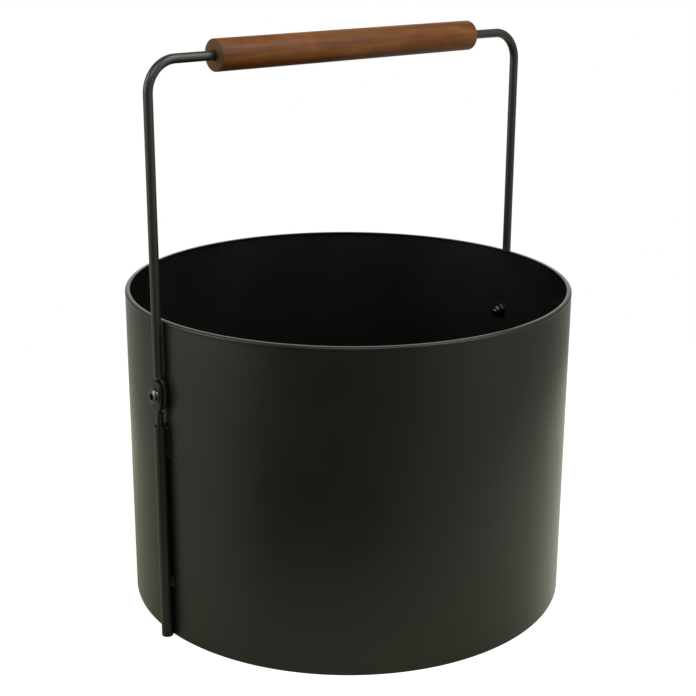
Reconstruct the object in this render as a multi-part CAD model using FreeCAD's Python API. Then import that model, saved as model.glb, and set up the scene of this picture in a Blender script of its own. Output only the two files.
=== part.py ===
import FreeCAD, Part
import math
import os

# Log bucket: a rolled sheet-steel cylinder with a welded base, and a bent rod handle with a
# wooden grip that swings on two lap joints at the tops of the side tubes.
# Millimetres. The origin is the middle of the underside, +Z is up, and the pivots lie along X.

# Bucket wall, rolled from one sheet, with its rim turned inwards as a narrow lip
bucket_diameter = 400.0
bucket_height = 286.0
wall_thickness = 1.0
lip_bend_radius = 1.8
lip_flat = 1.4
seam_width = 2.4
seam_bead_height = 0.5

# Base disc, welded in flush with the wall's lower edge
base_thickness = 1.2
base_edge_clearance = 0.1
base_weld_leg = 3.0

# Side tubes, stitch welded to the wall
tube_diameter = 10.0
tube_wall = 1.0
tube_mouth_chamfer = 0.4
tube_standoff = 0.05
tube_top_below_pivot = 27.0
weld_radius = 2.0
weld_gap = 0.02
upper_weld_length = 28.0
lower_weld_length = 10.0
lower_weld_height = 52.5

# Handle rod and its flattened ends
rod_diameter = 8.0
bend_radius = 26.0
bar_above_rim = 210.5
pivot_below_rim = 63.5
tongue_width = 14.0
tongue_thickness = 3.6
tongue_reach = 13.2
tongue_edge_round = 0.8
lap_clearance = 0.1
swing_gap = 0.6
shoulder_ramp = 1.2
neck_overlap = 1.5
flare_length = 13.0

# Lower tongues, with a thin neck above a plug that is fast in the tube
neck_diameter = 6.4
plug_below_mouth = 6.0
plug_length = 34.0
plug_clearance = 0.05

# Wooden grip, bored along its length
grip_diameter = 26.5
bare_rod_beside_grip = 37.0
grip_bore_clearance = 0.08
grip_end_round = 2.0

# Pivot screws, washers and nuts
screw_diameter = 6.0
running_clearance = 0.05
hole_clearance = 0.2
head_diameter = 13.8
head_edge_height = 0.8
head_flat_diameter = 6.6
head_height = 3.8
socket_across_flats = 5.0
socket_depth = 2.3
screw_end_chamfer = 0.8
thread_past_nut = 2.0
thread_clearance = 0.05
spacer_thickness = 1.3
spacer_diameter = 12.0
washer_diameter = 14.0
washer_thickness = 1.6
washer_seat_clearance = 0.05
nut_across_flats = 10.0
nut_hex_height = 4.4
nut_collar_diameter = 8.8
nut_collar_height = 1.6
nut_corner_chamfer = 30.0

ORIGIN = FreeCAD.Vector(0, 0, 0)
ALONG_X = FreeCAD.Vector(1, 0, 0)
ALONG_Y = FreeCAD.Vector(0, 1, 0)
UP = FreeCAD.Vector(0, 0, 1)

# Places worked out from the sizes
bucket_radius = bucket_diameter / 2
inner_radius = bucket_radius - wall_thickness
rim_radius = lip_bend_radius + wall_thickness
lip_width = rim_radius + lip_flat
pivot_height = bucket_height - pivot_below_rim
bar_height = bucket_height + bar_above_rim
tube_radius = tube_diameter / 2
tube_bore_radius = tube_radius - tube_wall
tube_axis_x = bucket_radius + tube_standoff + tube_radius
tube_top = pivot_height - tube_top_below_pivot
plug_radius = tube_bore_radius - plug_clearance
neck_radius = neck_diameter / 2
rod_radius = rod_diameter / 2
spacer_outer_x = bucket_radius + washer_seat_clearance + spacer_thickness
inner_tongue_x = spacer_outer_x + washer_seat_clearance
lap_x = inner_tongue_x + tongue_thickness + lap_clearance / 2
outer_tongue_x = lap_x + lap_clearance / 2
head_seat_x = outer_tongue_x + tongue_thickness
washer_seat_x = math.sqrt(inner_radius ** 2 - (washer_diameter / 2) ** 2) - washer_seat_clearance
nut_seat_x = washer_seat_x - washer_thickness
nut_end_x = nut_seat_x - nut_hex_height - nut_collar_height
screw_end_x = nut_end_x - thread_past_nut
screw_radius = screw_diameter / 2
grip_half_length = lap_x - bend_radius - bare_rod_beside_grip
shoulder = tongue_reach + swing_gap
neck_end = shoulder + shoulder_ramp + neck_overlap


def point(x, y, z):
    return FreeCAD.Vector(x, y, z)


def flat_face(corners):
    """A flat face through the corners, in order."""
    return Part.Face(Part.makePolygon(corners + corners[:1]))


def wire_of(curves):
    """One wire from lines and arcs that follow each other."""
    return Part.Wire([curve.toShape() for curve in curves])


def rod_along_x(radius, start_x, end_x, height):
    """A round bar along X between two places, at a height on the centre plane."""
    return Part.makeCylinder(radius, end_x - start_x, point(start_x, 0, height), ALONG_X)


def ring_along_x(outer_radius, bore_radius, start_x, end_x, height):
    """A flat ring or a sleeve along X."""
    outside = rod_along_x(outer_radius, start_x, end_x, height)
    return outside.cut(rod_along_x(bore_radius, start_x, end_x, height))


def on_the_left(shape):
    """The same piece on the left side, half a turn round the bucket."""
    turned = shape.copy()
    turned.rotate(ORIGIN, UP, 180)
    return turned


def rolled_sheet():
    """The wall and its lip as a full ring, before the seam is opened."""
    lip_edge = bucket_radius - lip_width
    lip_under = bucket_height - wall_thickness
    bend_x = bucket_radius - rim_radius
    bend_z = bucket_height - rim_radius
    outer_slant = rim_radius * math.sqrt(0.5)
    inner_slant = lip_bend_radius * math.sqrt(0.5)
    bend_outside = Part.Arc(
        point(bucket_radius, 0, bend_z),
        point(bend_x + outer_slant, 0, bend_z + outer_slant),
        point(bend_x, 0, bucket_height))
    bend_inside = Part.Arc(
        point(bend_x, 0, lip_under),
        point(bend_x + inner_slant, 0, bend_z + inner_slant),
        point(inner_radius, 0, bend_z))
    section = wire_of([
        Part.LineSegment(point(bucket_radius, 0, 0), point(bucket_radius, 0, bend_z)),
        bend_outside,
        Part.LineSegment(point(bend_x, 0, bucket_height), point(lip_edge, 0, bucket_height)),
        Part.LineSegment(point(lip_edge, 0, bucket_height), point(lip_edge, 0, lip_under)),
        Part.LineSegment(point(lip_edge, 0, lip_under), point(bend_x, 0, lip_under)),
        bend_inside,
        Part.LineSegment(point(inner_radius, 0, bend_z), point(inner_radius, 0, 0)),
        Part.LineSegment(point(inner_radius, 0, 0), point(bucket_radius, 0, 0)),
    ])
    return Part.Face(section).revolve(ORIGIN, UP, 360)


def seam_slot():
    """The gap between the sheet's two edges, at the back of the bucket."""
    depth = 2 * lip_width
    corner = point(-seam_width / 2, bucket_radius - depth, 0)
    return Part.makeBox(seam_width, 2 * depth, bucket_height, corner)


def bucket_wall():
    wall = rolled_sheet().cut(seam_slot())
    hole = rod_along_x(screw_radius + hole_clearance, -bucket_diameter, bucket_diameter, pivot_height)
    return wall.cut(hole)


def seam_weld():
    """Weld metal that fills the seam, and stands a little proud inside between base and lip."""
    fill = rolled_sheet().common(seam_slot())
    low = base_thickness + base_weld_leg + weld_gap
    high = bucket_height - rim_radius
    proud = Part.makeCylinder(inner_radius, high - low, point(0, 0, low))
    proud = proud.cut(Part.makeCylinder(inner_radius - seam_bead_height, high - low, point(0, 0, low)))
    return fill.fuse(proud.common(seam_slot())).removeSplitter()


def base_plate():
    return Part.makeCylinder(inner_radius - base_edge_clearance, base_thickness)


def base_weld():
    """A fillet weld all round the inside corner between base and wall."""
    root = inner_radius - weld_gap
    corner = flat_face([
        point(root, 0, base_thickness),
        point(root, 0, base_thickness + base_weld_leg),
        point(root - base_weld_leg, 0, base_thickness),
    ])
    return corner.revolve(ORIGIN, UP, 360)


def side_tube():
    foot = point(tube_axis_x, 0, 0)
    tube = Part.makeCylinder(tube_radius, tube_top, foot)
    tube = tube.cut(Part.makeCylinder(tube_bore_radius, tube_top, foot))
    mouth = Part.makeCone(
        tube_bore_radius,
        tube_bore_radius + tube_mouth_chamfer,
        tube_mouth_chamfer,
        point(tube_axis_x, 0, tube_top - tube_mouth_chamfer))
    return tube.cut(mouth)


def weld_bead(side_y, low, length):
    """One round-ended bead in the groove between tube and wall."""
    groove = point(bucket_radius + weld_radius / 2, side_y, low + weld_radius)
    straight = length - 2 * weld_radius
    bead = Part.makeCylinder(weld_radius, straight, groove)
    bead = bead.fuse(Part.makeSphere(weld_radius, groove))
    bead = bead.fuse(Part.makeSphere(weld_radius, groove + UP * straight))
    bead = bead.cut(Part.makeCylinder(tube_radius + weld_gap, tube_top, point(tube_axis_x, 0, 0)))
    return bead.cut(Part.makeCylinder(bucket_radius + weld_gap, bucket_height))


def tube_welds():
    """Two stitches on each side of the tube: a long one at its top and a short one low down."""
    groove_y = tube_radius - weld_radius / 2
    beads = []
    for side_y in (-groove_y, groove_y):
        beads.append(weld_bead(side_y, tube_top - upper_weld_length, upper_weld_length))
        beads.append(weld_bead(side_y, lower_weld_height - lower_weld_length / 2, lower_weld_length))
    return Part.makeCompound(beads)


def tongue_plate(near_x, axis_x, stem_radius):
    """A flattened rod end round the pivot: round below it, flaring out of the stem above it."""
    half = tongue_width / 2
    end_z = pivot_height - tongue_reach
    top_z = pivot_height + neck_end
    round_z = end_z + half
    outline = wire_of([
        Part.LineSegment(point(near_x, half, top_z), point(near_x, half, round_z)),
        Part.Arc(point(near_x, half, round_z), point(near_x, 0, end_z), point(near_x, -half, round_z)),
        Part.LineSegment(point(near_x, -half, round_z), point(near_x, -half, top_z)),
        Part.LineSegment(point(near_x, -half, top_z), point(near_x, half, top_z)),
    ])
    plate = Part.Face(outline).extrude(ALONG_X * tongue_thickness)
    rim = [e for e in plate.Edges if e.BoundBox.XLength < 1e-6 and e.BoundBox.ZMin < top_z - 1e-6]
    plate = plate.makeFillet(tongue_edge_round, rim)
    widest = math.hypot(half, tongue_thickness + stem_radius)
    flare_z = top_z - flare_length
    flare = Part.makeCone(widest, stem_radius, flare_length, point(axis_x, 0, flare_z))
    below = Part.makeCylinder(2 * widest, flare_z - end_z, point(axis_x, 0, end_z))
    return plate.common(flare.fuse(below))


def shoulder_cuts(near_x, axis_x, stem_radius):
    """Two wedges that thin the stem's end down to the tongue."""
    low = pivot_height + shoulder - swing_gap
    step = pivot_height + shoulder
    full = step + shoulder_ramp
    width = 2 * stem_radius
    wedges = []
    for face_x, side in ((near_x, -1), (near_x + tongue_thickness, 1)):
        skin_x = axis_x + side * stem_radius
        clear_x = skin_x + side * stem_radius
        wedge = flat_face([
            point(face_x, -width, low),
            point(face_x, -width, step),
            point(skin_x, -width, full),
            point(clear_x, -width, full),
            point(clear_x, -width, low),
        ])
        wedges.append(wedge.extrude(ALONG_Y * (2 * width)))
    return wedges


def flattened(stem, near_x, axis_x, stem_radius, bore_radius):
    """Join a tongue to the end of a stem that starts at the shoulder above the pivot."""
    for wedge in shoulder_cuts(near_x, axis_x, stem_radius):
        stem = stem.cut(wedge)
    joined = stem.fuse(tongue_plate(near_x, axis_x, stem_radius))
    joined = joined.cut(rod_along_x(bore_radius, 0, 2 * axis_x, pivot_height))
    return joined.removeSplitter()


def lower_tongue():
    """A tongue outside the lap on a necked plug in the tube's top. It is made upside down."""
    neck_low = pivot_height + shoulder
    plug_low = pivot_height + tube_top_below_pivot + plug_below_mouth
    neck = Part.makeCylinder(neck_radius, plug_low - neck_low, point(tube_axis_x, 0, neck_low))
    plug = Part.makeCylinder(plug_radius, plug_length, point(tube_axis_x, 0, plug_low))
    stem = neck.fuse(plug)
    tongue = flattened(stem, outer_tongue_x, tube_axis_x, neck_radius, screw_radius + hole_clearance)
    tongue.rotate(point(0, 0, pivot_height), ALONG_X, 180)
    return tongue


def handle_rod():
    """One bent rod: two arms and a bar, with its ends flattened on their inner halves."""
    start_z = pivot_height + shoulder
    bend_x = lap_x - bend_radius
    bend_z = bar_height - bend_radius
    slant = bend_radius * math.sqrt(0.5)
    path = wire_of([
        Part.LineSegment(point(lap_x, 0, start_z), point(lap_x, 0, bend_z)),
        Part.Arc(
            point(lap_x, 0, bend_z),
            point(bend_x + slant, 0, bend_z + slant),
            point(bend_x, 0, bar_height)),
        Part.LineSegment(point(bend_x, 0, bar_height), point(-bend_x, 0, bar_height)),
        Part.Arc(
            point(-bend_x, 0, bar_height),
            point(-bend_x - slant, 0, bend_z + slant),
            point(-lap_x, 0, bend_z)),
        Part.LineSegment(point(-lap_x, 0, bend_z), point(-lap_x, 0, start_z)),
    ])
    section = Part.Wire(Part.makeCircle(rod_radius, point(lap_x, 0, start_z), UP))
    rod = path.makePipeShell([section], True, False)
    bore_radius = screw_radius + running_clearance
    for end in range(2):
        rod = flattened(rod, inner_tongue_x, lap_x, rod_radius, bore_radius)
        rod.rotate(ORIGIN, UP, 180)
    return rod


def wooden_grip():
    grip = rod_along_x(grip_diameter / 2, -grip_half_length, grip_half_length, bar_height)
    ends = [e for e in grip.Edges if e.BoundBox.XLength < 1e-6]
    grip = grip.makeFillet(grip_end_round, ends)
    bore = rod_along_x(
        rod_radius + grip_bore_clearance, -grip_half_length, grip_half_length, bar_height)
    return grip.cut(bore)


def hexagon(across_flats, start_x, end_x):
    """A six-sided bar along the pivot axis, with a corner upwards."""
    corner_radius = across_flats / math.sqrt(3)
    corners = []
    for index in range(6):
        angle = math.radians(60 * index)
        y = corner_radius * math.sin(angle)
        z = pivot_height + corner_radius * math.cos(angle)
        corners.append(point(start_x, y, z))
    return flat_face(corners).extrude(ALONG_X * (end_x - start_x))


def pivot_screw():
    """A screw with a wide button head and a hexagon socket, its head outside the lower tongue."""
    head_top = head_seat_x + head_height
    edge_x = head_seat_x + head_edge_height
    dome_low = head_diameter / 2
    dome_high = head_flat_diameter / 2
    middle_x = (edge_x + head_top) / 2
    bulge = (head_top - edge_x) / 8
    dome_middle = point(middle_x + bulge, (dome_low + dome_high) / 2 + bulge, 0)
    chamfer_x = screw_end_x + screw_end_chamfer
    half_section = wire_of([
        Part.LineSegment(point(screw_end_x, 0, 0), point(head_top, 0, 0)),
        Part.LineSegment(point(head_top, 0, 0), point(head_top, dome_high, 0)),
        Part.Arc(point(head_top, dome_high, 0), dome_middle, point(edge_x, dome_low, 0)),
        Part.LineSegment(point(edge_x, dome_low, 0), point(head_seat_x, dome_low, 0)),
        Part.LineSegment(point(head_seat_x, dome_low, 0), point(head_seat_x, screw_radius, 0)),
        Part.LineSegment(point(head_seat_x, screw_radius, 0), point(chamfer_x, screw_radius, 0)),
        Part.LineSegment(
            point(chamfer_x, screw_radius, 0), point(screw_end_x, screw_radius - screw_end_chamfer, 0)),
        Part.LineSegment(
            point(screw_end_x, screw_radius - screw_end_chamfer, 0), point(screw_end_x, 0, 0)),
    ])
    screw = Part.Face(half_section).revolve(ORIGIN, ALONG_X, 360)
    screw.translate(point(0, 0, pivot_height))
    return screw.cut(hexagon(socket_across_flats, head_top - socket_depth, head_top))


def spacer_washer():
    """The thin washer that keeps the handle's tongue off the wall."""
    seat_x = spacer_outer_x - spacer_thickness
    return ring_along_x(
        spacer_diameter / 2, screw_radius + hole_clearance, seat_x, spacer_outer_x, pivot_height)


def inner_washer():
    return ring_along_x(
        washer_diameter / 2, screw_radius + hole_clearance, nut_seat_x, washer_seat_x, pivot_height)


def pivot_nut():
    """A lock nut: a hexagon with chamfered corners and a round collar on its free side."""
    hex_end_x = nut_seat_x - nut_hex_height
    corner_radius = nut_across_flats / math.sqrt(3)
    corner_drop = (corner_radius - nut_across_flats / 2) * math.tan(math.radians(nut_corner_chamfer))
    body = hexagon(nut_across_flats, hex_end_x, nut_seat_x)
    crown = Part.makeCone(
        nut_across_flats / 2,
        corner_radius,
        corner_drop,
        point(hex_end_x, 0, pivot_height),
        ALONG_X)
    crown = crown.fuse(rod_along_x(corner_radius, hex_end_x + corner_drop, nut_seat_x, pivot_height))
    nut = body.common(crown)
    nut = nut.fuse(rod_along_x(nut_collar_diameter / 2, nut_end_x, hex_end_x, pivot_height))
    bore = rod_along_x(screw_radius + thread_clearance, nut_end_x, nut_seat_x, pivot_height)
    return nut.cut(bore).removeSplitter()


def save(name, shape):
    """Write one piece, after a look at its solids."""
    if not shape.isValid():
        raise ValueError(name + " is not a valid shape")
    volume = sum(solid.Volume for solid in shape.Solids)
    print(name, len(shape.Solids), "solid(s)", round(volume, 1), "mm3")
    shape.exportStep("parts/" + name + ".step")


os.makedirs("parts", exist_ok=True)

save("bucket_wall", bucket_wall())
save("seam_weld", seam_weld())
save("base_plate", base_plate())
save("base_weld", base_weld())
save("handle_rod", handle_rod())
save("wooden_grip", wooden_grip())

side_pieces = {
    "side_tube": side_tube(),
    "tube_welds": tube_welds(),
    "lower_tongue": lower_tongue(),
    "spacer_washer": spacer_washer(),
    "pivot_screw": pivot_screw(),
    "inner_washer": inner_washer(),
    "pivot_nut": pivot_nut(),
}
for piece_name, right_piece in side_pieces.items():
    save(piece_name + "_right", right_piece)
    save(piece_name + "_left", on_the_left(right_piece))
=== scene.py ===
import math
import random

import bmesh
import bpy
from mathutils import Matrix, Quaternion, Vector


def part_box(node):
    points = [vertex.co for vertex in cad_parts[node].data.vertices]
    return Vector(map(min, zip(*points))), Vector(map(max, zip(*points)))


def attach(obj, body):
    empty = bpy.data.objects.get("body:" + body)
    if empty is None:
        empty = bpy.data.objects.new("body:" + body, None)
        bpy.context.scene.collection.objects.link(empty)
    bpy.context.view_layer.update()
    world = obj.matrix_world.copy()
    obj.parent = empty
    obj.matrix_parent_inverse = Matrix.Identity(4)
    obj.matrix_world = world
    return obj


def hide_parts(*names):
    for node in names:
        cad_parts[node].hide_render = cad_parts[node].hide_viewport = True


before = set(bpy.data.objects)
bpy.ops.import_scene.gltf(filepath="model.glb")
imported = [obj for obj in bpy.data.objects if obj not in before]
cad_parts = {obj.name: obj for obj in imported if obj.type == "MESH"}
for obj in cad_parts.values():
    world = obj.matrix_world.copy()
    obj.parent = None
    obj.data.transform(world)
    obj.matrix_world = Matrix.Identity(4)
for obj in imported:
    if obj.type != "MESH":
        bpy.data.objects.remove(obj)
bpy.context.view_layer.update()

# Bucket wall
# One sheet of steel about 1 mm thick, rolled into a cylinder and butt welded at the back. Its rim is
# turned inwards as a narrow flat lip, with a soft shoulder outside, and the whole is powder coated.
FULL_TURN = 2 * math.pi
quarter_turn = FULL_TURN / 4
wall_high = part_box("bucket_wall")[1]
seam_low, seam_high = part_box("seam_weld")
wall_radius = wall_high.x
wall_height = wall_high.z
sheet_thickness = 0.001
sheet_edge_round = 0.0003
lip_width = seam_high.y - seam_low.y
shoulder_round = 0.0018
shoulder_proud = 0.0001
lip_edge_round = 0.0004
lip_under_round = 0.0003
bend_inside_round = 0.0016
crease_drop = 0.0034
crease_width = 0.0005
crease_depth = 0.00006
seam_width = seam_high.x - seam_low.x
seam_angle = 2 * math.asin(seam_width / 2 / wall_radius)
wall_facets = 320
corner_segments = 6
sharp_edge = math.radians(38)
same_place = 1e-7


def turned(section, axis=(0, 0), start=0.0, sweep=FULL_TURN, steps=64, closed=True):
    """Turns a section of (radius, height, corner round) points about an upright axis."""
    shape = bmesh.new()
    corners = [shape.verts.new((radius, 0, height)) for radius, height, rounding in section]
    ends = corners[1:] + corners[:1] if closed else corners[1:]
    for first, second in zip(corners, ends):
        shape.edges.new((first, second))
    for corner, (radius, height, rounding) in zip(corners, section):
        if rounding:
            bmesh.ops.bevel(
                shape, geom=[corner], offset=rounding, segments=corner_segments, profile=0.5,
                affect="VERTICES", material=-1)
    bmesh.ops.rotate(shape, verts=shape.verts[:], matrix=Matrix.Rotation(start, 3, "Z"))
    whole = sweep == FULL_TURN
    bmesh.ops.spin(
        shape, geom=shape.verts[:] + shape.edges[:], cent=(0, 0, 0), axis=(0, 0, 1),
        angle=sweep, steps=steps, use_merge=whole, use_duplicate=False)
    if not whole:
        rims = [edge for edge in shape.edges if edge.is_boundary]
        bmesh.ops.holes_fill(shape, edges=rims)
    bmesh.ops.remove_doubles(shape, verts=shape.verts[:], dist=same_place)
    bmesh.ops.translate(shape, verts=shape.verts[:], vec=(*axis, 0))
    return shape


def put_on(shape, name, finish, slot, body, *nodes):
    """Makes a finished piece of a shape, on its body, in the place of the plain solid it stands for."""
    bmesh.ops.recalc_face_normals(shape, faces=shape.faces[:])
    for face in shape.faces:
        face.smooth = True
    for edge in shape.edges:
        edge.smooth = edge.calc_face_angle(0) < sharp_edge
    mesh = bpy.data.meshes.new(name)
    shape.to_mesh(mesh)
    shape.free()
    mesh.materials.append(finish)
    piece = bpy.data.objects.new(name, mesh)
    bpy.context.scene.collection.objects.link(piece)
    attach(piece, body)
    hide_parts(*nodes)


def bare_material(name):
    """A node material with its shader and the piece's own coordinates."""
    material = bpy.data.materials.new(name)
    material.use_nodes = True
    nodes = material.node_tree.nodes
    place = nodes.new("ShaderNodeTexCoord")
    return material, nodes, material.node_tree.links, nodes["Principled BSDF"], place.outputs["Object"]


def speckle(nodes, links, place, scale, detail):
    """Even noise over the surface."""
    noise = nodes.new("ShaderNodeTexNoise")
    noise.inputs["Scale"].default_value = scale
    noise.inputs["Detail"].default_value = detail
    links.new(place, noise.inputs["Vector"])
    return noise.outputs["Fac"]


def ranged(nodes, links, value, span, low, high, easing="SMOOTHSTEP"):
    """Numbers from low to high, as a value goes from the start of a span to its end."""
    spread = nodes.new("ShaderNodeMapRange")
    spread.interpolation_type = easing
    spread.inputs["From Min"].default_value = span[0]
    spread.inputs["From Max"].default_value = span[1]
    spread.inputs["To Min"].default_value = low
    spread.inputs["To Max"].default_value = high
    links.new(value, spread.inputs["Value"])
    return spread.outputs["Result"]


def tints(nodes, links, factor, stops):
    """Colours over a factor, from (place, colour) stops."""
    ramp = nodes.new("ShaderNodeValToRGB")
    colours = ramp.color_ramp
    while len(colours.elements) < len(stops):
        colours.elements.new(0.5)
    for element, (place, colour) in zip(colours.elements, stops):
        element.position = place
        element.color = (*colour, 1)
    links.new(factor, ramp.inputs["Fac"])
    return ramp.outputs["Color"]


def combined(nodes, links, operation, first, second):
    """Two numbers, each fixed or from another node, made into one."""
    node = nodes.new("ShaderNodeMath")
    node.operation = operation
    for socket, number in zip(node.inputs, (first, second)):
        if isinstance(number, bpy.types.NodeSocket):
            links.new(number, socket)
        else:
            socket.default_value = number
    return node.outputs["Value"]


def grain(nodes, links, height, depth, strength, under=None):
    """Raises the surface by a pattern, over another such pattern if there is one."""
    bump = nodes.new("ShaderNodeBump")
    bump.inputs["Strength"].default_value = strength
    bump.inputs["Distance"].default_value = depth
    links.new(height, bump.inputs["Height"])
    if under is not None:
        links.new(under, bump.inputs["Normal"])
    return bump.outputs["Normal"]


cloud_scale = 16
cloud_detail = 3
cloud_span = (0.3, 0.7)
slant_span = (0.45, 0.75)
slant_roughness = 0.45
grain_detail = 2
peel_scale = 320
peel_depth = 0.00004
peel_strength = 0.12
fine_scale = 1500
fine_depth = 0.00003
fine_strength = 0.2


def powder_coat(name, dark, light, smooth, rough, shine):
    """Satin black powder coat: a fine grain, faint clouds in tone and gloss, more gloss at a slant."""
    material, nodes, links, shader, place = bare_material(name)
    clouds = speckle(nodes, links, place, cloud_scale, cloud_detail)
    toned = tints(nodes, links, clouds, list(zip(cloud_span, (dark, light))))
    links.new(toned, shader.inputs["Base Color"])
    clouded = ranged(nodes, links, clouds, cloud_span, smooth, rough, "LINEAR")
    slant = nodes.new("ShaderNodeLayerWeight").outputs["Facing"]
    slanted = ranged(nodes, links, slant, slant_span, 1.0, slant_roughness)
    links.new(combined(nodes, links, "MULTIPLY", clouded, slanted), shader.inputs["Roughness"])
    coarse = speckle(nodes, links, place, peel_scale, grain_detail)
    peel = grain(nodes, links, coarse, peel_depth, peel_strength)
    close = speckle(nodes, links, place, fine_scale, grain_detail)
    links.new(grain(nodes, links, close, fine_depth, fine_strength, peel), shader.inputs["Normal"])
    shader.inputs["Specular IOR Level"].default_value = shine
    return material


black_coat = powder_coat(
    "satin_black_powder_coat", dark=(0.0080, 0.0080, 0.0068), light=(0.0105, 0.0105, 0.0090),
    smooth=0.34, rough=0.40, shine=0.5)
outside = wall_radius
inside = wall_radius - sheet_thickness
lip_edge = wall_radius - lip_width
lip_under = wall_height - sheet_thickness
crease = wall_height - crease_drop
sheet_section = [
    (outside, 0, sheet_edge_round),
    (outside, crease - crease_width, 0),
    (outside - crease_depth, crease, 0),
    (outside + shoulder_proud, crease + crease_width, 0),
    (outside + shoulder_proud, wall_height, shoulder_round),
    (lip_edge, wall_height, lip_edge_round),
    (lip_edge, lip_under, lip_under_round),
    (inside, lip_under, bend_inside_round),
    (inside, 0, sheet_edge_round),
]
wall = turned(
    sheet_section, start=quarter_turn + seam_angle / 2, sweep=FULL_TURN - seam_angle, steps=wall_facets)
put_on(wall, "wall_sheet", black_coat, "black_coating", "bucket", "bucket_wall")

# Seam weld
# The run of weld metal that joins the sheet's two edges. It is ground nearly flush outside and left as
# a low rippled bead inside, with a few drops stuck to it that catch the light through the coat.
base_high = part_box("base_plate")[1]
seam_bead_height = 0.00025
seam_outside_crown = 0.00005
seam_ripple = 0.0021
seam_ripple_depth = 0.3
seam_steps = 8
seam_cuts = 240
seam_above_base = 0.003
seam_bead_low = base_high.z + seam_above_base
seam_bead_high = wall_height - shoulder_round
seam_drops = {0.0113: 0.00045, 0.0145: 0.0004, 0.0185: 0.00045, 0.0257: 0.0003, 0.0531: 0.00035}
seam_drop_bulge = 0.6
drop_fineness = 2
on_surface = 1e-5
ripple_shift = 0.3
ripple_drift = 0.9
ripple_fullness = 0.6


def ripples(along, pitch):
    """The height of overlapping weld ripples, from 0 to 1, with an unsteady pitch."""
    unsteady = along + ripple_shift * pitch * math.sin(along / pitch * ripple_drift)
    return abs(math.sin(math.pi * unsteady / pitch)) ** ripple_fullness


seam = turned(sheet_section, start=quarter_turn - seam_angle / 2, sweep=seam_angle, steps=seam_steps)
long_runs = [edge for edge in seam.edges if edge.calc_length() > wall_height / 2]
bmesh.ops.subdivide_edges(seam, edges=long_runs, cuts=seam_cuts, use_grid_fill=True)
for vert in seam.verts:
    across = vert.co.x / (seam_width / 2)
    crown = max(0, 1 - across * across)
    height = vert.co.z
    reach = math.hypot(vert.co.x, vert.co.y)
    swell = 1 - seam_ripple_depth * (1 - ripples(height, seam_ripple))
    outward = 0
    if abs(reach - inside) < on_surface and seam_bead_low < height < seam_bead_high:
        outward = -seam_bead_height * crown * swell
    elif abs(reach - outside) < on_surface:
        outward = seam_outside_crown * crown * swell
    vert.co.xy *= (reach + outward) / reach
for below_rim, size in seam_drops.items():
    spot = Vector((0, inside - seam_drop_bulge * size, wall_height - below_rim))
    bmesh.ops.create_icosphere(
        seam, subdivisions=drop_fineness, radius=size, matrix=Matrix.Translation(spot))
put_on(seam, "seam_bead", black_coat, "black_coating", "bucket", "seam_weld")

# Base disc
# A flat disc of steel sheet that closes the bucket. It is set into the foot of the wall, flush with the
# wall's lower edge, welded there from inside and coated with the rest.
base_round = 0.0003
base_section = [
    (0, base_high.z, 0),
    (base_high.x, base_high.z, base_round),
    (base_high.x, 0, base_round),
    (0, 0, 0),
]
base = turned(base_section, steps=wall_facets, closed=False)
put_on(base, "base_disc", black_coat, "black_coating", "bucket", "base_plate")

# Base weld
# A fillet weld run all the way round the inside corner between the base and the wall, with the close
# ripples that such a bead has, under the coat.
bead_low, bead_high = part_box("base_weld")
bead_root = bead_high.x
bead_leg = bead_high.z - bead_low.z
half_leg = bead_leg / 2
bead_bulge = 0.0004
bead_round = 0.0008
bead_edge = 0.0004
bead_ripple = 0.0042
bead_ripple_depth = 0.0005
bead_facets = 1200
bead_section = [
    (bead_root, bead_low.z, 0),
    (bead_root, bead_high.z, 0),
    (bead_root - half_leg + bead_bulge, bead_low.z + half_leg + bead_bulge, bead_round),
    (bead_root - bead_leg, bead_low.z, 0),
]
bead = turned(bead_section, steps=bead_facets)
for vert in bead.verts:
    proud = bead_root - vert.co.xy.length
    along = math.atan2(vert.co.y, vert.co.x) * bead_root
    if proud > bead_edge and vert.co.z > bead_low.z + bead_edge:
        sink = bead_ripple_depth * (1 - ripples(along, bead_ripple))
        vert.co.xy *= (vert.co.xy.length + sink) / vert.co.xy.length
        vert.co.z -= sink
put_on(bead, "base_bead", black_coat, "black_coating", "bucket", "base_weld")

# Side tubes
# Two lengths of steel tube stood against the wall from the floor to below the pivots. Their cut ends
# are broken only lightly, so the mouth shows its wall and the dark bore round the tongue's neck.
SIDES = {"right": 0, "left": math.pi}
tube_low, tube_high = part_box("side_tube_right")
tube_axis = (tube_low.x + tube_high.x) / 2
tube_radius = (tube_high.y - tube_low.y) / 2
tube_thickness = 0.001
tube_bore = tube_radius - tube_thickness
tube_top = tube_high.z
tube_foot_round = 0.0002
tube_mouth_round = 0.0003
tube_facets = 56
tube_section = [
    (tube_radius, 0, tube_foot_round),
    (tube_radius, tube_top, tube_mouth_round),
    (tube_bore, tube_top, tube_mouth_round),
    (tube_bore, 0, tube_foot_round),
]


def on_side(shape, turn):
    """Turns a piece made for the right side to its place on a side."""
    bmesh.ops.rotate(shape, verts=shape.verts[:], matrix=Matrix.Rotation(turn, 3, "Z"))
    return shape


for side, turn in SIDES.items():
    tube = on_side(turned(tube_section, axis=(tube_axis, 0), steps=tube_facets), turn)
    put_on(tube, "tube_" + side, black_coat, "black_coating", "bucket", "side_tube_" + side)

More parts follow.
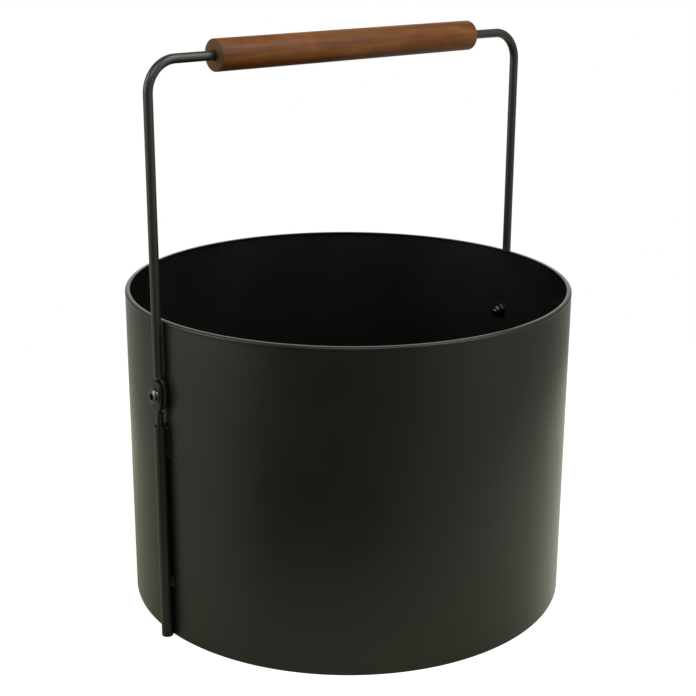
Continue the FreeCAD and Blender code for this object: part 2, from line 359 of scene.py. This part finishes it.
# Tube welds
# Two stitches of weld on each side of a tube, a long one at its top and a short one low down, built up of
# overlapping ripples that fill the corner, with a few drops of spatter on the wall beside them. Their
# coat is painted darker than the wall's, as painted shade for the shaded corner between tube and wall.
stitch_radius = 0.003
stitch_flatness = 0.5
stitch_facing = (0.58, 0.81)
stitch_ripple = 0.0023
stitch_ripple_depth = 0.0003
stitch_wander = 0.00022
stitch_wander_pitch = 0.0013
stitch_off_wall = 0.0015
stitch_off_tube = 0.0007
corner_x = wall_radius + stitch_off_wall
corner_y = tube_radius + stitch_off_tube
rings_per_ripple = 8
stitch_facets = 32
upper_stitch_length = 0.028
upper_stitch = (tube_top - upper_stitch_length, tube_top)
lower_stitch = (0.0475, 0.0575)
spatter_sizes = (0.00025, 0.00055)
spatter_spread = 0.011
spatter_gap = 0.001
spatter_count = 7
spatter_seed = 7


def stitch(low, high, beside):
    """One flattened bead of ripples with rounded ends, on one side of the tube."""
    steps = int((high - low) / stitch_ripple * rings_per_ripple)
    section = []
    for step in range(steps + 1):
        height = low + (high - low) * step / steps
        end = min(height - low, high - height)
        dome = math.sqrt(max(0, 1 - (1 - min(1, end / stitch_radius)) ** 2))
        swell = stitch_radius - stitch_ripple_depth * (1 - ripples(height, stitch_ripple))
        swell += stitch_wander * math.sin(height / stitch_wander_pitch)
        section.append((dome * swell, height, 0))
    bead = turned(section, steps=stitch_facets, closed=False)
    flatten = Matrix.Scale(stitch_flatness, 4, (stitch_facing[0], beside * stitch_facing[1], 0))
    into_corner = Matrix.Translation((corner_x, beside * corner_y, 0))
    bmesh.ops.transform(bead, matrix=into_corner @ flatten, verts=bead.verts[:])
    return bead


def spatter(shape, luck, middle):
    """Drops of weld metal thrown on to the wall beside a stitch."""
    for drop in range(spatter_count):
        size = luck.uniform(*spatter_sizes)
        height = middle + luck.uniform(-spatter_spread, spatter_spread)
        beside = luck.choice((-1, 1)) * (tube_radius + luck.uniform(spatter_gap, spatter_spread))
        spot = Vector((math.sqrt(wall_radius ** 2 - beside ** 2), beside, height))
        bmesh.ops.create_icosphere(
            shape, subdivisions=drop_fineness, radius=size, matrix=Matrix.Translation(spot))


# Painted shade: the welds get a darker copy of the black coat, standing in for the shade in the corner
# beside the tube.
painted_shade_weld_coat = powder_coat(
    "satin_black_painted_shade_weld_coat", dark=(0.0020, 0.0021, 0.0014), light=(0.0030, 0.0031, 0.0022),
    smooth=0.22, rough=0.30, shine=0.22)
luck = random.Random(spatter_seed)
for side, turn in SIDES.items():
    welds = bmesh.new()
    for low, high in (upper_stitch, lower_stitch):
        for beside in (-1, 1):
            run = bpy.data.meshes.new("run")
            one = stitch(low, high, beside)
            one.to_mesh(run)
            one.free()
            welds.from_mesh(run)
            bpy.data.meshes.remove(run)
        spatter(welds, luck, (low + high) / 2)
    on_side(welds, turn)
    put_on(welds, "stitch_welds_" + side, painted_shade_weld_coat, "black_coating", "bucket", "tube_welds_" + side)

# Lower tongues
# Short rods driven into the tops of the tubes and held fast there. Above a thin neck each is forged
# flat and rounded, on the outer side of the lap. The screws, their heads and the washers hide the pivot's
# holes through tongues, rod ends and wall, so the holes aren't cut here.
ROUND = 2
screw_low, screw_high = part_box("pivot_screw_right")
pivot = (screw_low.z + screw_high.z) / 2
lower_low, lower_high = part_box("lower_tongue_right")
tongue_thickness = 0.0036
tongue_half_width = lower_high.y
tongue_reach = lower_high.z - pivot
tongue_edge_round = 0.0012
tip_steps = 10
tip_width_left = 0.002
tip_thickness_left = 0.15
flat_levels = (-0.006, -0.003, 0, 0.003, 0.006, 0.008, 0.0095, 0.011, 0.0121)
flat_past_tip = 0.0004
flat_end = tongue_reach + flat_past_tip
swell_length = 0.0019
swell_lead = 0.0008
swell_step = 0.0003
swell_rings = 16
flare_start = 0.0075
rounding_start = 0.0115
stem_start = 0.0172
flat_squareness = 3.5
plug_radius = 0.00395
plug_drop = 0.006
plug_chamfer = 0.0006
plug_top = tube_top - plug_drop
neck_radius = 0.0032
ring_points = 44


def eased(value, start, end):
    """From 0 at start to 1 at end, gently at both."""
    share = min(1, max(0, (value - start) / (end - start)))
    return share * share * (3 - 2 * share)


def ring(shape, height, low_x, high_x, half_width, squareness):
    """A level ring of points, round or flattened between two faces."""
    points = bmesh.ops.create_circle(shape, segments=ring_points, radius=1)["verts"]
    power = ROUND / squareness
    for vert in points:
        over = math.copysign(abs(vert.co.x) ** power, vert.co.x)
        across = math.copysign(abs(vert.co.y) ** power, vert.co.y)
        vert.co = ((low_x + high_x) / 2 + over * (high_x - low_x) / 2, across * half_width, height)
    return points


def edges_of(points):
    """The edges that join a ring's points."""
    known = set(points)
    return list({edge for vert in points for edge in vert.link_edges if edge.other_vert(vert) in known})


def skin(shape, rings):
    """Skins a row of rings."""
    for first, second in zip(rings, rings[1:]):
        bmesh.ops.bridge_loops(shape, edges=edges_of(first) + edges_of(second))


def forged_tongue(shape, stem_axis, stem_radius, face_x, way):
    """Rings of a flat rounded tongue round the pivot, from its tip up to a round stem."""
    levels = []
    for step in range(tip_steps, 0, -1):
        down = tongue_half_width * math.sin(quarter_turn * step / tip_steps)
        levels.append(tongue_half_width - tongue_reach - down)
    levels += flat_levels
    levels += [flat_end - swell_lead + swell_step * step for step in range(swell_rings)]
    rings = []
    for level in levels:
        swell = eased(level, flat_end, flat_end + swell_length)
        low_x = face_x + (stem_axis - stem_radius - face_x) * swell
        high_x = face_x + tongue_thickness
        high_x += (stem_axis + stem_radius - high_x) * swell
        flare = eased(level, flare_start, stem_start)
        half_width = tongue_half_width + (stem_radius - tongue_half_width) * flare
        from_tip = level + tongue_reach
        into_round = max(0, tongue_half_width - from_tip)
        half_width *= math.sqrt(max(tip_width_left, 1 - (into_round / tongue_half_width) ** 2))
        thin = math.sqrt(max(tip_thickness_left, 1 - max(0, 1 - from_tip / tongue_edge_round) ** 2))
        middle = (low_x + high_x) / 2
        half_thick = (high_x - low_x) / 2 * thin
        squareness = ROUND + flat_squareness * (1 - eased(level, rounding_start, stem_start))
        low_x = middle - half_thick
        high_x = middle + half_thick
        rings.append(ring(shape, pivot + way * level, low_x, high_x, half_width, squareness))
    shape.faces.new(rings[0])
    return rings


for side, turn in SIDES.items():
    tongue = bmesh.new()
    rings = forged_tongue(tongue, tube_axis, neck_radius, lower_high.x - tongue_thickness, -1)
    for height, radius in (
            (plug_top + plug_chamfer, neck_radius), (plug_top, plug_radius), (lower_low.z, plug_radius)):
        rings.append(ring(tongue, height, tube_axis - radius, tube_axis + radius, radius, ROUND))
    skin(tongue, rings)
    tongue.faces.new(rings[-1])
    on_side(tongue, turn)
    put_on(tongue, "tongue_" + side, black_coat, "black_coating", "bucket", "lower_tongue_" + side)

# Handle rod
# One round steel rod bent square at both shoulders. Its two ends are forged flat on the inner side of
# the lap, so that the handle swings on the screws just outside the wall.
rod_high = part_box("handle_rod")[1]
rod_radius = 0.004
rod_axis = rod_high.x - rod_radius
bar_height = rod_high.z - rod_radius
bend_radius = 0.026
bend_steps = 20
bend_x = rod_axis - bend_radius
bend_z = bar_height - bend_radius
inner_face_x = 0.2014
halves_meet = 1e-6


def drawn_out(shape, points, vec):
    """Draws a ring's edges out along a line and gives the new ring."""
    made = bmesh.ops.extrude_edge_only(shape, edges=edges_of(points))["geom"]
    new_points = [part for part in made if isinstance(part, bmesh.types.BMVert)]
    bmesh.ops.translate(shape, verts=new_points, vec=vec)
    return new_points


rod = bmesh.new()
rings = forged_tongue(rod, rod_axis, rod_radius, inner_face_x, 1)
skin(rod, rings)
arm_top = drawn_out(rod, rings[-1], (0, 0, bend_z - rings[-1][0].co.z))
bent = bmesh.ops.spin(
    rod, geom=edges_of(arm_top) + arm_top, cent=(bend_x, 0, bend_z), axis=(0, 1, 0),
    angle=-quarter_turn, steps=bend_steps, use_duplicate=False)["geom_last"]
bar_start = [part for part in bent if isinstance(part, bmesh.types.BMVert)]
drawn_out(rod, bar_start, (-bend_x, 0, 0))
bmesh.ops.mirror(
    rod, geom=rod.verts[:] + rod.edges[:] + rod.faces[:], matrix=Matrix.Identity(4),
    merge_dist=halves_meet, axis="X")
bmesh.ops.remove_doubles(rod, verts=rod.verts[:], dist=halves_meet)
# Painted light: the rod gets a lighter copy of the black coat, standing in for the light the rods catch.
painted_light_rod_coat = powder_coat(
    "satin_black_painted_light_rod_coat", dark=(0.0185, 0.0187, 0.0168), light=(0.0220, 0.0222, 0.0200),
    smooth=0.27, rough=0.33, shine=0.75)
put_on(rod, "bail_rod", painted_light_rod_coat, "black_coating", "handle", "handle_rod")

# Wooden grip
# A turned hardwood dowel with a bore along it, slipped on to the bar before the second bend was made.
# It is stained a reddish brown that settles in the pores, under a thin satin varnish.
grip_low, grip_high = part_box("wooden_grip")
grip_radius = (grip_high.z - grip_low.z) / 2
grip_half = grip_high.x
grip_facets = 96
grip_end_round = 0.0011
bore_clearance = 0.00008
bore_radius = rod_radius + bore_clearance
bore_mouth_round = 0.0006
grip_section = [
    (grip_radius, -grip_half, grip_end_round),
    (grip_radius, grip_half, grip_end_round),
    (bore_radius, grip_half, bore_mouth_round),
    (bore_radius, -grip_half, bore_mouth_round),
]
band_tones = [(0.28, (0.150, 0.036, 0.005)), (0.5, (0.245, 0.079, 0.013)), (0.72, (0.335, 0.130, 0.030))]
unstained = (1.0, 1.0, 1.0)
blotch_tones = [(0.36, (0.74, 0.70, 0.66)), (0.64, unstained)]
streak_tones = [(0.32, (0.84, 0.80, 0.76)), (0.62, unstained)]
pore_tones = [(0.30, (0.70, 0.64, 0.58)), (0.42, unstained)]
end_tones = [(0.35, (0.085, 0.034, 0.010)), (0.65, (0.150, 0.070, 0.022))]
end_depths = (0.0009, 0.0004)
end_span = [grip_half - depth for depth in end_depths]
streak_span = (0.3, 0.7)
varnish_roughness = (0.50, 0.40)
varnish_shine = 0.3


def stained_wood(name):
    """Long grain along the dowel: broad bands of tone, fine streaks and dark open pores."""
    material, nodes, links, shader, place = bare_material(name)

    def along_grain(lengthwise, crosswise, detail, bend):
        stretch = nodes.new("ShaderNodeMapping")
        stretch.inputs["Scale"].default_value = (lengthwise, crosswise, crosswise)
        links.new(place, stretch.inputs["Vector"])
        noise = nodes.new("ShaderNodeTexNoise")
        noise.inputs["Scale"].default_value = 1
        noise.inputs["Detail"].default_value = detail
        noise.inputs["Distortion"].default_value = bend
        links.new(stretch.outputs["Vector"], noise.inputs["Vector"])
        return noise.outputs["Fac"]

    def mixed(blend, factor, first, second):
        stain = nodes.new("ShaderNodeMix")
        stain.data_type = "RGBA"
        stain.blend_type = blend
        if factor is None:
            stain.inputs["Factor"].default_value = 1
        else:
            links.new(factor, stain.inputs["Factor"])
        links.new(first, stain.inputs["A"])
        links.new(second, stain.inputs["B"])
        return stain.outputs["Result"]

    bands = along_grain(lengthwise=7, crosswise=70, detail=4, bend=0.6)
    blotches = along_grain(lengthwise=28, crosswise=60, detail=2, bend=0.5)
    streaks = along_grain(lengthwise=22, crosswise=520, detail=3, bend=0.2)
    pores = along_grain(lengthwise=90, crosswise=1900, detail=2, bend=0)
    colour = tints(nodes, links, bands, band_tones)
    for pattern, tones in ((blotches, blotch_tones), (streaks, streak_tones), (pores, pore_tones)):
        colour = mixed("MULTIPLY", None, colour, tints(nodes, links, pattern, tones))
    sides = nodes.new("ShaderNodeSeparateXYZ")
    links.new(place, sides.inputs["Vector"])
    outward = nodes.new("ShaderNodeMath")
    outward.operation = "ABSOLUTE"
    links.new(sides.outputs["X"], outward.inputs[0])
    at_end = ranged(nodes, links, outward.outputs["Value"], end_span, 0.0, 1.0, "LINEAR")
    colour = mixed("MIX", at_end, colour, tints(nodes, links, pores, end_tones))
    links.new(colour, shader.inputs["Base Color"])
    gloss = ranged(nodes, links, streaks, streak_span, *varnish_roughness, "LINEAR")
    links.new(gloss, shader.inputs["Roughness"])
    ridges = grain(nodes, links, streaks, depth=0.00010, strength=0.2)
    pits = grain(nodes, links, pores, depth=0.00012, strength=0.25, under=ridges)
    links.new(pits, shader.inputs["Normal"])
    shader.inputs["Specular IOR Level"].default_value = varnish_shine
    return material


wood = stained_wood("stained_hardwood")
grip = turned(grip_section, steps=grip_facets)
along_x = Matrix.Rotation(quarter_turn, 4, "Y")
bmesh.ops.transform(grip, matrix=Matrix.Translation((0, 0, bar_height)) @ along_x, verts=grip.verts[:])
put_on(grip, "dowel_grip", wood, "stained_wood", "grip", "wooden_grip")

# Washers
# Flat round washers punched from sheet, blackened: a thin spacer that keeps the handle's tongue off the
# wall outside, and a wider one that spreads the nut's load inside.
washer_bore = 0.0032
washer_edge_round = 0.0003
wear_scale = 260
wear_detail = 4
wear_span = (0.3, 0.7)
wear_tone_span = (0.35, 0.65)
wear_depth = 0.00003
wear_strength = 0.15


def blackened_metal(name, dark, light, smooth, rough):
    """Blackened steel: a dark metal skin, worn a little brighter in places."""
    material, nodes, links, shader, place = bare_material(name)
    wear = speckle(nodes, links, place, wear_scale, wear_detail)
    toned = tints(nodes, links, wear, list(zip(wear_tone_span, (dark, light))))
    links.new(toned, shader.inputs["Base Color"])
    gloss = ranged(nodes, links, wear, wear_span, rough, smooth, "LINEAR")
    links.new(gloss, shader.inputs["Roughness"])
    links.new(grain(nodes, links, wear, wear_depth, wear_strength), shader.inputs["Normal"])
    shader.inputs["Metallic"].default_value = 1.0
    return material


def on_pivot(shape):
    """Lays a piece made about an upright axis along the pivot's axis."""
    bmesh.ops.transform(shape, matrix=Matrix.Translation((0, 0, pivot)) @ along_x, verts=shape.verts[:])
    return shape


blackened = blackened_metal(
    "blackened_steel", dark=(0.10, 0.10, 0.098), light=(0.16, 0.16, 0.157), smooth=0.15, rough=0.23)
for washer, washer_name in {"spacer_washer": "spacer_", "inner_washer": "inside_washer_"}.items():
    low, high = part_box(washer + "_right")
    washer_section = [
        (high.y, low.x, washer_edge_round),
        (high.y, high.x, washer_edge_round),
        (washer_bore, high.x, washer_edge_round),
        (washer_bore, low.x, washer_edge_round),
    ]
    for side, turn in SIDES.items():
        disc = on_side(on_pivot(turned(washer_section)), turn)
        put_on(disc, washer_name + side, blackened, "blackened_steel", "bucket", washer + "_" + side)

# Pivot screws
# Button-head screws with a wide domed head and a hexagon socket, put in from outside. The head is pressed
# to shape and the thread rolled, and only the thread's end shows past the nut.
SIXTH = FULL_TURN / 6
nut_low, nut_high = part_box("pivot_nut_right")
fastener_points = 48
screw_radius = 0.003
head_radius = screw_high.y
head_seat = lower_high.x
head_top = screw_high.x
head_edge = 0.0008
head_edge_round = 0.0002
head_flat_radius = 0.0033
dome_low = head_seat + head_edge
dome_fullness = 0.25
dome_steps = 8
socket_flat = 0.0025
socket_mouth = 0.0002
socket_drill = 0.0005
socket_depth = 0.0023
socket_floor = head_top - socket_depth
thread_pitch = 0.001
thread_depth = 0.0004
thread_steps = 24
thread_end_radius = 0.0022
thread_lead = 0.0003
thread_in_nut = 0.0006
thread_runout = 0.0001
thread_start = screw_low.x + thread_lead
thread_stop = nut_low.x + thread_in_nut
shank_start = thread_stop + thread_runout


def cross_ring(shape, place, radius, six_sided=False, lean=0.0):
    """A ring across the pivot axis, round, or six-sided with a corner upwards and leaning corners."""
    spot = Matrix.Translation((place, 0, pivot)) @ along_x
    points = bmesh.ops.create_circle(shape, segments=fastener_points, radius=radius, matrix=spot)["verts"]
    for vert in points if six_sided else []:
        around = math.atan2(vert.co.y, vert.co.z - pivot) % SIXTH
        stretch = 1 / math.cos(around - SIXTH / 2)
        vert.co.x += lean * radius * (stretch - 1)
        vert.co.y *= stretch
        vert.co.z = pivot + (vert.co.z - pivot) * stretch
    return points


def rolled_thread(shape, start, end):
    """Rings of a thread that winds round the screw."""
    rings = []
    for step in range(thread_steps + 1):
        place = start + (end - start) * step / thread_steps
        points = cross_ring(shape, place, 1)
        for vert in points:
            around = math.atan2(vert.co.y, vert.co.z - pivot) / FULL_TURN
            groove = abs(2 * ((place / thread_pitch + around) % 1) - 1)
            radius = screw_radius - thread_depth * groove
            vert.co.y *= radius
            vert.co.z = pivot + (vert.co.z - pivot) * radius
        rings.append(points)
    return rings


for side, turn in SIDES.items():
    screw = bmesh.new()
    rings = [cross_ring(screw, screw_low.x, thread_end_radius)]
    screw.faces.new(rings[0])
    rings += rolled_thread(screw, thread_start, thread_stop)
    for place, radius in (
            (shank_start, screw_radius), (head_seat, screw_radius),
            (head_seat, head_radius - head_edge_round), (head_seat + head_edge_round, head_radius)):
        rings.append(cross_ring(screw, place, radius))
    for step in range(dome_steps + 1):
        share = step / dome_steps
        bulge = dome_fullness * 2 * share * (1 - share)
        place = dome_low + (head_top - dome_low) * (share + bulge)
        radius = head_radius + (head_flat_radius - head_radius) * (share - bulge)
        rings.append(cross_ring(screw, place, radius))
    for place, flat in (
            (head_top, socket_flat + socket_mouth), (head_top - socket_mouth, socket_flat),
            (socket_floor, socket_flat)):
        rings.append(cross_ring(screw, place, flat, six_sided=True))
    rings.append(cross_ring(screw, socket_floor - socket_drill, socket_drill))
    skin(screw, rings)
    screw.faces.new(rings[-1])
    on_side(screw, turn)
    put_on(screw, "button_screw_" + side, blackened, "blackened_steel", "bucket", "pivot_screw_" + side)

# Lock nuts
# Six-sided nuts with turned-down corners and a round collar that grips the thread, so that the pivots can
# be set to swing freely and stay so. Blackened like the screws.
nut_flat = nut_high.y
nut_bore = 0.00305
nut_bore_mouth = 0.0035
nut_mouth_depth = 0.0004
nut_face_radius = 0.0047
nut_corner_drop = 0.0002
nut_corner_slope = 0.577
collar_radius = 0.0044
collar_round = 0.0006
collar_edge = collar_round / 4
collar_height = 0.0016
collar_foot = nut_low.x + collar_height
for side, turn in SIDES.items():
    nut = bmesh.new()
    rings = [
        cross_ring(nut, nut_high.x - nut_mouth_depth, nut_bore),
        cross_ring(nut, nut_high.x, nut_bore_mouth),
        cross_ring(nut, nut_high.x, nut_face_radius),
        cross_ring(nut, nut_high.x - nut_corner_drop, nut_flat, six_sided=True, lean=-nut_corner_slope),
        cross_ring(nut, collar_foot + nut_corner_drop, nut_flat, six_sided=True, lean=nut_corner_slope),
        cross_ring(nut, collar_foot, nut_face_radius),
        cross_ring(nut, collar_foot, collar_radius),
        cross_ring(nut, nut_low.x + collar_round, collar_radius),
        cross_ring(nut, nut_low.x + collar_edge, collar_radius - collar_edge),
        cross_ring(nut, nut_low.x, collar_radius - collar_round),
        cross_ring(nut, nut_low.x, nut_bore_mouth),
        cross_ring(nut, nut_low.x + nut_mouth_depth, nut_bore),
    ]
    skin(nut, rings + rings[:1])
    on_side(nut, turn)
    put_on(nut, "lock_nut_" + side, blackened, "blackened_steel", "bucket", "pivot_nut_" + side)

# Camera
# It stands higher than the grip, in front and to the left of the bucket, and looks down at it through a
# lens of medium length. The bearings in the next sections start at the line from the bucket to it.
camera_bearing = math.radians(49.89)
camera_pitch = math.radians(17.585)
camera_roll = math.radians(0.297)
camera_reach = 1.2563
camera_height = 0.6207
camera_lens = 74.24
camera_sensor = 36
toward = Vector((math.cos(camera_bearing), math.sin(camera_bearing), 0))
sideways = Vector((toward.y, -toward.x, 0))
forward = toward * math.cos(camera_pitch) - Vector((0, 0, math.sin(camera_pitch)))
camera = bpy.data.objects.new("camera", bpy.data.cameras.new("camera"))
camera.data.lens = camera_lens
camera.data.sensor_width = camera_sensor
camera.location = -toward * camera_reach + Vector((0, 0, camera_height))
camera.rotation_mode = "QUATERNION"
camera.rotation_quaternion = forward.to_track_quat("-Z", "Y") @ Quaternion((0, 0, 1), camera_roll)
bpy.context.scene.collection.objects.link(camera)
bpy.context.scene.camera = camera
bpy.context.scene.view_settings.view_transform = "Standard"

# Floor
# A plain pale disc under the bucket that fades out into the surround and can't be seen from below. In the
# picture it is white but for the bucket's shadow, and the coat mirrors a share of that at the back.
pure_white = (1, 1, 1, 1)
room_turn = math.radians(35)
room_toward = Matrix.Rotation(-room_turn, 3, "Z") @ toward
floor_radius = 0.75
floor_solid = 0.35
floor_back = 0.2
floor_facets = 128
floor_tone = (0.62, 0.612, 0.47, 1)
floor_roughness = 0.9
floor_glow = 0.8
floor_mirrored = (-0.35, -0.05)
floor_mirrored_share = 0.234


def along_way(nodes, links, place, way):
    """How far a place or a direction lies along a way."""
    dot = nodes.new("ShaderNodeVectorMath")
    dot.operation = "DOT_PRODUCT"
    dot.inputs[1].default_value = way
    links.new(place, dot.inputs[0])
    return dot.outputs["Value"]


def white_share(nodes, links, mirrored_share):
    """How much of the white surround a ray sees: all in the picture, and a share in metal and glass."""
    path = nodes.new("ShaderNodeLightPath")
    mirrored = combined(
        nodes, links, "MAXIMUM", path.outputs["Is Glossy Ray"], path.outputs["Is Transmission Ray"])
    mirrored = combined(nodes, links, "MULTIPLY", mirrored, mirrored_share)
    return combined(nodes, links, "MAXIMUM", path.outputs["Is Camera Ray"], mirrored)


floor_shape = bmesh.new()
bmesh.ops.create_circle(floor_shape, cap_ends=True, segments=floor_facets, radius=floor_radius)
floor_shape.normal_update()
for face in floor_shape.faces:
    if face.normal.z < 0:
        face.normal_flip()
floor_mesh = bpy.data.meshes.new("floor")
floor_shape.to_mesh(floor_mesh)
floor_shape.free()
floor = bpy.data.objects.new("floor", floor_mesh)
bpy.context.scene.collection.objects.link(floor)
floor.location = room_toward * floor_back
floor_paint, nodes, links, shader, place = bare_material("pale_floor")
floor_mesh.materials.append(floor_paint)
shader.inputs["Base Color"].default_value = floor_tone
shader.inputs["Roughness"].default_value = floor_roughness
shader.inputs["Specular IOR Level"].default_value = 0.0
shader.inputs["Emission Color"].default_value = pure_white
towards_back = along_way(nodes, links, place, room_toward)
at_back = ranged(nodes, links, towards_back, floor_mirrored, 0.0, floor_mirrored_share)
glow = combined(nodes, links, "MULTIPLY", white_share(nodes, links, at_back), floor_glow)
links.new(glow, shader.inputs["Emission Strength"])
from_middle = nodes.new("ShaderNodeVectorMath")
from_middle.operation = "LENGTH"
links.new(place, from_middle.inputs[0])
fade = ranged(nodes, links, from_middle.outputs["Value"], (floor_solid, floor_radius), 1.0, 0.0)
from_below = nodes.new("ShaderNodeNewGeometry").outputs["Backfacing"]
from_above = combined(nodes, links, "SUBTRACT", fade, from_below)
links.new(combined(nodes, links, "MAXIMUM", from_above, 0.0), shader.inputs["Alpha"])

# Surround
# White in the picture. What the coat mirrors is a room with a slightly warm light: bright at the back,
# dark behind the camera, with a pale screen on the left and a weak light all round above the floor.
room_levels = ((0.0, 0.02), (0.2, 0.08), (0.47, 0.34), (0.7, 0.36), (0.97, 0.32))
room_stops = [(place, (level, level, level)) for place, level in room_levels]
room_tint = (1.0, 0.99, 0.83, 1)
above_span = (-0.22, -0.05)
above_level = 0.21
screen_bearing = math.radians(-85)
screen_span = (0.55, 0.95)
screen_level = 0.5
white_span = (0.86, 0.98)


def at_bearing(bearing):
    """The level direction that lies so far to the right of the line from the bucket to the camera."""
    return sideways * math.sin(bearing) - toward * math.cos(bearing)


world = bpy.data.worlds.new("surround")
bpy.context.scene.world = world
world.use_nodes = True
nodes = world.node_tree.nodes
links = world.node_tree.links
backdrop = nodes["Background"]
way = nodes.new("ShaderNodeTexCoord").outputs["Generated"]
to_room_back = along_way(nodes, links, way, room_toward)
round_the_room = ranged(nodes, links, to_room_back, (-1.0, 1.0), 0.0, 1.0, "LINEAR")
room = tints(nodes, links, round_the_room, room_stops)
upward = nodes.new("ShaderNodeSeparateXYZ")
links.new(way, upward.inputs["Vector"])
above = ranged(nodes, links, upward.outputs["Z"], above_span, 0.0, above_level)
to_screen = along_way(nodes, links, way, at_bearing(screen_bearing))
screen = ranged(nodes, links, to_screen, screen_span, 0.0, screen_level)
straight_back = along_way(nodes, links, way, toward)
white = white_share(nodes, links, ranged(nodes, links, straight_back, white_span, 0.0, 1.0))
strength = combined(nodes, links, "MAXIMUM", room, above)
for light in (screen, white):
    strength = combined(nodes, links, "MAXIMUM", strength, light)
links.new(strength, backdrop.inputs["Strength"])
tint = nodes.new("ShaderNodeMix")
tint.data_type = "RGBA"
tint.inputs["A"].default_value = room_tint
tint.inputs["B"].default_value = pure_white
links.new(white, tint.inputs["Factor"])
links.new(tint.outputs["Result"], backdrop.inputs["Color"])

# Lamps
# Soft white lamps that point at the middle of the rim: a tall softbox at each side, and two square ones
# higher up, in front and on the right, which reach the inside and the rods.
lamps = {
    "softbox_left": {"bearing": -72, "reach": 1.9, "height": 1.1, "size": (1.2, 1.7), "power": 15},
    "softbox_right": {"bearing": 67, "reach": 1.9, "height": 1.1, "size": (1.2, 1.7), "power": 8},
    "high_light_front": {"bearing": 0, "reach": 1.25, "height": 1.65, "size": (1.0, 1.0), "power": 7},
    "high_light_right": {"bearing": 70, "reach": 1.0, "height": 1.75, "size": (0.9, 0.9), "power": 9},
}
rim_middle = Vector((0, 0, wall_height))
for lamp_name, plan in lamps.items():
    lamp = bpy.data.lights.new(lamp_name, "AREA")
    lamp.shape = "RECTANGLE"
    lamp.size, lamp.size_y = plan["size"]
    lamp.energy = plan["power"]
    holder = bpy.data.objects.new(lamp_name, lamp)
    off = at_bearing(math.radians(plan["bearing"])) * plan["reach"]
    holder.location = off + Vector((0, 0, plan["height"]))
    holder.rotation_mode = "QUATERNION"
    holder.rotation_quaternion = (rim_middle - holder.location).to_track_quat("-Z", "Y")
    bpy.context.scene.collection.objects.link(holder)
